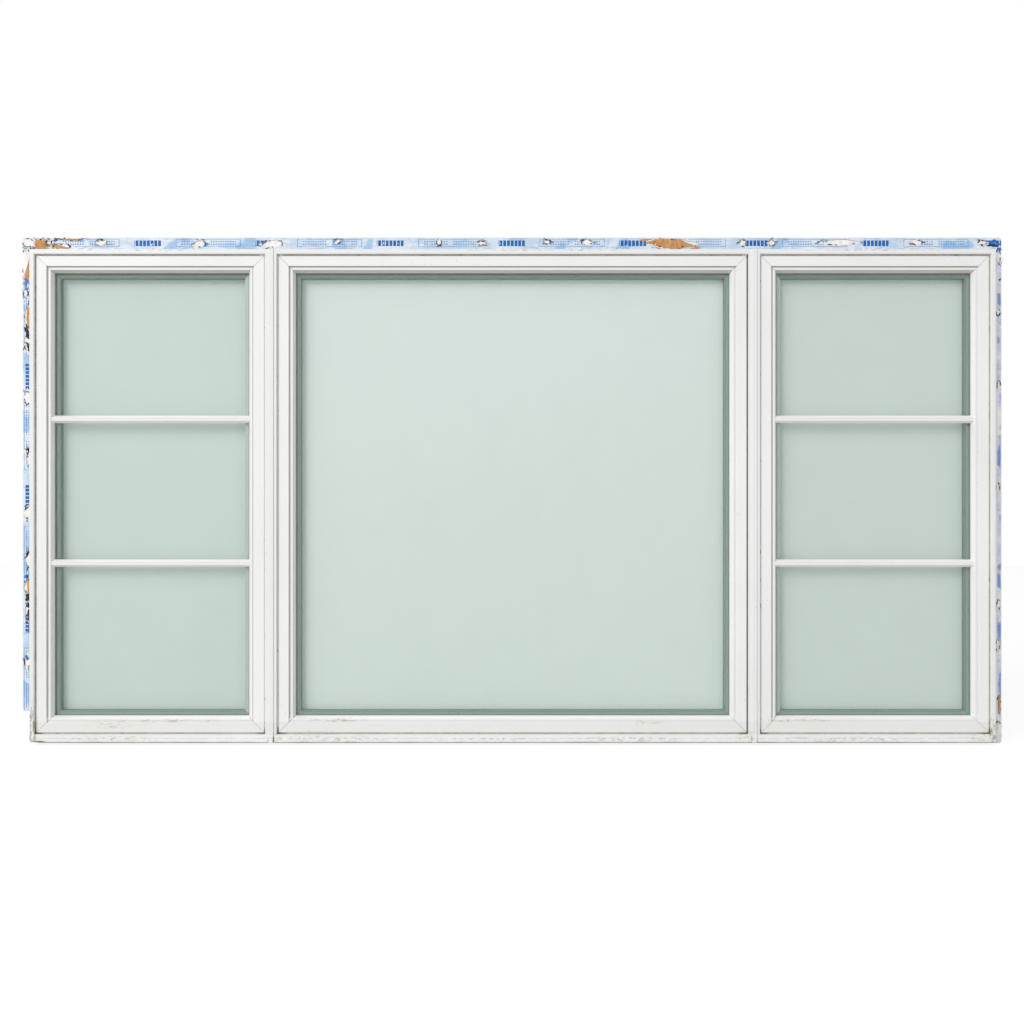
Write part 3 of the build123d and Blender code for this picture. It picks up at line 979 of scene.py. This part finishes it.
FILMS = [
    ("head_tape", "x", HEAD_TEARS, printed_film, 0.0),
    ("left_tape", "z", LEFT_TEARS, printed_film, 0.0),
    ("right_tape", "z", RIGHT_TEARS, faded_film_painted_lighter, 0.011),
]
for node, along, tears, material, crumple in FILMS:
    corner_low, corner_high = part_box(node)
    low = (corner_low.x + EDGE_INSET, corner_low.z)
    high = (corner_high.x - EDGE_INSET, corner_high.z - (EDGE_INSET if along == "x" else 0.0))
    if along == "x":
        tears = tears + edge_tears(low, high, EDGE_TEARS, random.Random(5))
    make_film(node.replace("tape", "film"), low, high, along, tears, node, material, crumple)

# %% [markdown]
# ## Scraps
#
# Where the film is gone, brown kraft paper from the back of the tape is left on the fin,
# with smears of black adhesive and loose bits of white and blue film.
# They are all matt and fibrous, so one function makes the four finishes from two colours each.

# %% Scrap finishes
def make_scrap_finish(name, light_colour, dark_colour, roughness, fibre):
    material, start, out = blank_material(name)
    threads = start.stretch(fibre, 60.0, 60.0).cloud(1.0, 5.0, 0.6)
    blotch = start.cloud(45.0, 4.0, 0.6)
    colour = threads.rise(0.3, 0.7).blend(light_colour, dark_colour)
    colour = colour.tint(blotch.rise(0.55, 0.75) * 0.4, dark_colour)
    inputs = {"Base Color": colour, "Roughness": roughness + 0.1 * blotch}
    finish_surface(material, start, out, inputs, threads + blotch * 0.5, 0.0005)
    return material


kraft_paper = make_scrap_finish("kraft_paper", rgba(214, 164, 108), rgba(178, 124, 74), 0.75, 240.0)
black_adhesive = make_scrap_finish("black_adhesive", rgba(24, 22, 26), rgba(10, 9, 12), 0.55, 90.0)
white_film = make_scrap_finish("white_film", rgba(252, 252, 251), rgba(230, 227, 222), 0.45, 120.0)
blue_film = make_scrap_finish("blue_film", rgba(40, 128, 214), rgba(16, 74, 160), 0.4, 120.0)

# %% [markdown]
# ## Ragged shapes
#
# Each scrap is a thin flat piece with a ragged outline. Straight-sided ones start from a few corners,
# whose edges are cut up and pushed about by noise, and small ones start from a circle.
# No corner may hang over the fins' outer edges, so each is moved back onto them.
# Vector noise starts from the clock unless it is given a seed, so it is given one
# and the outlines are the same each run.

# %% Ragged shapes
OUTLINE_SEED = 3
noise.seed_set(OUTLINE_SEED)
FIN_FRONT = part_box("head_fin")[0].y
FIN_MARGIN = 0.0005


def keep_on_fins(vert):
    """Move a corner that hangs over the fins' outer edges back onto them."""
    vert.co.x = min(max(vert.co.x, cad_box[0][0] + FIN_MARGIN), cad_box[1][0] - FIN_MARGIN)
    vert.co.z = min(max(vert.co.z, cad_box[0][2] + FIN_MARGIN), cad_box[1][2] - FIN_MARGIN)


def sheet_scrap(shape, outline, back, thickness, jag):
    """Thin scrap from a few corners in millimetres, with torn edges."""
    corners = [shape.verts.new((x / 1000.0, back, z / 1000.0)) for x, z in outline]
    face = shape.faces.new(corners)
    bmesh.ops.subdivide_edges(shape, edges=face.edges[:], cuts=6)
    for vert in face.verts:
        push = noise.noise_vector(Vector((vert.co.x * 260.0, 2.0, vert.co.z * 260.0)))
        vert.co.x += jag * push.x
        vert.co.z += jag * push.z
        keep_on_fins(vert)
    thicken(shape, [face], -thickness)


def torn_bit(shape, x, z, half_x, half_z, chance):
    """Flat torn bit with uneven corners, its place and sizes in metres."""
    outline = []
    for step in range(8):
        turn = math.radians(45.0 * step) + chance.uniform(-0.3, 0.3)
        reach = chance.uniform(0.6, 1.05)
        corner_x = x + half_x * reach * math.cos(turn)
        corner_z = z + half_z * reach * math.sin(turn)
        outline.append((1000.0 * corner_x, 1000.0 * corner_z))
    sheet_scrap(shape, outline, FIN_FRONT, 0.0004, 0.0016)


def sliver(shape, centre, half, turn, back, thickness):
    """Small ragged sliver, turned in the plane of the fin."""
    made = bmesh.ops.create_circle(shape, cap_ends=True, cap_tris=True, segments=12, radius=1.0)
    verts = made["verts"]
    faces = list({face for vert in verts for face in vert.link_faces})
    for vert in verts:
        seed = Vector((centre[0] * 90.0 + vert.co.x * 2.2, centre[1] * 90.0, vert.co.y * 2.2))
        ragged = 1.0 + 0.8 * noise.noise(seed)
        along, across = half[0] * vert.co.x * ragged, half[1] * vert.co.y * ragged
        x = centre[0] + along * math.cos(turn) - across * math.sin(turn)
        z = centre[1] + along * math.sin(turn) + across * math.cos(turn)
        vert.co = (x, back, z)
        keep_on_fins(vert)
    thicken(shape, faces, -thickness)


print("fins' front at y", round(FIN_FRONT, 4))

# %% [markdown]
# ## Outlines of the scraps
#
# The larger scraps are drawn corner by corner, in millimetres, because their shapes can be recognised.
# The blue bits need only a place and a size.

# %% Outlines of the larger scraps
KRAFT = [
    [
        (-1217, 1276), (-1193, 1277), (-1189, 1267), (-1178, 1263),
        (-1196, 1251), (-1233, 1250), (-1230, 1257), (-1217, 1259),
    ],
    [(-1171, 1267), (-1155, 1262), (-1127, 1253), (-1179, 1253)],
    [(-1159, 1278), (-1093, 1278), (-1099, 1274), (-1139, 1274), (-1156, 1275)],
    [
        (324, 1276), (352, 1278), (421, 1278), (434, 1273), (454, 1264), (480, 1255),
        (472, 1252), (370, 1252), (357, 1259), (367, 1264), (337, 1267),
    ],
    [(-1231, 1249), (-1231, 1165), (-1245, 1163), (-1245, 1185), (-1240, 1203), (-1235, 1218)],
    [(-1240, 1104), (-1230, 1105), (-1230, 1047), (-1239, 1050)],
    [(-1240, 411), (-1230, 411), (-1230, 366), (-1237, 370)],
    [(1238, 115), (1244, 115), (1244, 64), (1239, 66)],
]
ADHESIVE = [
    [(-1246, 1051), (-1240, 1054), (-1231, 1033), (-1231, 1023), (-1237, 1022)],
    [(-1241, 1014), (-1231, 1010), (-1231, 987), (-1235, 991)],
    [(-1248, 458), (-1240, 470), (-1231, 487), (-1231, 482), (-1239, 466)],
    [(-1242, 371), (-1231, 373), (-1232, 358), (-1242, 354)],
    [(-1238, 351), (-1230, 350), (-1233, 337), (-1241, 340)],
    [(-1235, 333), (-1230, 335), (-1230, 273), (-1234, 275), (-1234, 312), (-1239, 322)],
    [(1208, 1260), (1220, 1265), (1237, 1263), (1240, 1257), (1220, 1258)],
]
BLUE_BITS = [
    (-1165, 1275, 6.1, 4.0), (-1237, 1168, 5.6, 8.9), (-1239, 1152, 3.8, 5.1), (-1240, 416, 5.1, 6.4),
    (1226, 1270, 11.0, 4.6), (1241, 1207, 4.0, 10.2), (-1239, 209, 4.1, 5.6), (-782, 1263, 4.1, 3.6),
    (1241, 1250, 4.0, 7.0), (1242, 1178, 3.4, 8.0), (1236, 1264, 6.0, 3.0),
]
CORNER_FILM = [
    (-1247, 1278), (-1219, 1279), (-1218, 1262), (-1230, 1255),
    (-1234, 1234), (-1242, 1203), (-1247, 1183),
]
print(len(KRAFT), "pieces of kraft and", len(ADHESIVE), "smears of adhesive")

# %% [markdown]
# ## Large scraps
#
# Kraft paper lies close to the fin, and the adhesive stands a little prouder of it.
# All scraps of one stuff go into one mesh, which keeps the scene short.

# %% Kraft paper and adhesive
kraft_shape, adhesive_shape, white_shape, blue_shape = (bmesh.new() for _ in range(4))
for outline in KRAFT:
    sheet_scrap(kraft_shape, outline, FIN_FRONT - 0.0008, 0.0004, 0.0013)
for outline in ADHESIVE:
    sheet_scrap(adhesive_shape, outline, FIN_FRONT - 0.0004, 0.0011, 0.0026)
print("kraft has", len(kraft_shape.faces), "faces and adhesive", len(adhesive_shape.faces))

# %% [markdown]
# ## Bits at the tears
#
# Each tear shows white backing, dark slivers along its rim and a bit of blue.
# A seeded draw scatters them, so that no two tears are alike and each run is the same.

# %% Bits inside the tears
chance = random.Random(11)
for x, z, half_x, half_z in HEAD_TEARS + LEFT_TEARS + RIGHT_TEARS:
    torn_bit(white_shape, x, z, half_x, half_z, chance)
    for index in range(6):
        turn = chance.uniform(0.0, 2.0 * math.pi)
        spot = (x + 0.8 * half_x * math.cos(turn), z + 0.8 * half_z * math.sin(turn))
        if index < 5:
            half = (chance.uniform(0.0016, 0.0052), chance.uniform(0.0005, 0.0013))
            rim = math.atan2(half_z * math.cos(turn), -half_x * math.sin(turn))
            sliver(adhesive_shape, spot, half, rim, FIN_FRONT - 0.0008, 0.0012)
        else:
            half = (chance.uniform(0.002, 0.005), chance.uniform(0.0005, 0.0011))
            sliver(blue_shape, spot, half, turn + 1.3, FIN_FRONT - 0.0016, 0.0006)
print("white bits have", len(white_shape.faces), "faces")

# %% [markdown]
# ## Wrinkles beside the tears
#
# Fine dark wrinkles lie on the film beside the tears. They take their depth from the film itself,
# so they rest on it where it curls.

# %% Wrinkles and last bits
for tears, upright in ((HEAD_TEARS, 0.0), (LEFT_TEARS, math.pi / 2)):
    for x, z, half_x, half_z in tears:
        for _ in range(4):
            turn = chance.uniform(0.0, 2.0 * math.pi)
            spot = (x + 1.15 * half_x * math.cos(turn), z + 1.15 * half_z * math.sin(turn))
            half = (chance.uniform(0.0025, 0.0075), chance.uniform(0.0003, 0.0008))
            surface = FILM_DEPTH - film_lift(Vector((spot[0], 0.0, spot[1])), tears, 0.0)
            slant = upright + chance.uniform(-0.7, 0.7)
            sliver(adhesive_shape, spot, half, slant, surface + 0.0004, 0.0010)
sheet_scrap(white_shape, CORNER_FILM, FIN_FRONT, 0.0006, 0.0016)
for x, z, half_x, half_z in BLUE_BITS:
    half = (half_x / 1000.0, half_z / 1000.0)
    sliver(blue_shape, (x / 1000.0, z / 1000.0), half, 0.0, FIN_FRONT - 0.0012, 0.0005)
add_piece("kraft_scraps", kraft_shape, kraft_paper)
add_piece("adhesive_scraps", adhesive_shape, black_adhesive)
add_piece("white_scraps", white_shape, white_film)
add_piece("blue_scraps", blue_shape, blue_film)

# %% [markdown]
# ## Size
#
# The dressed unit is meant to stay in the box of the solids.

# %% [markdown]
# ## Close
#
# The script ends here, with the scene finished.
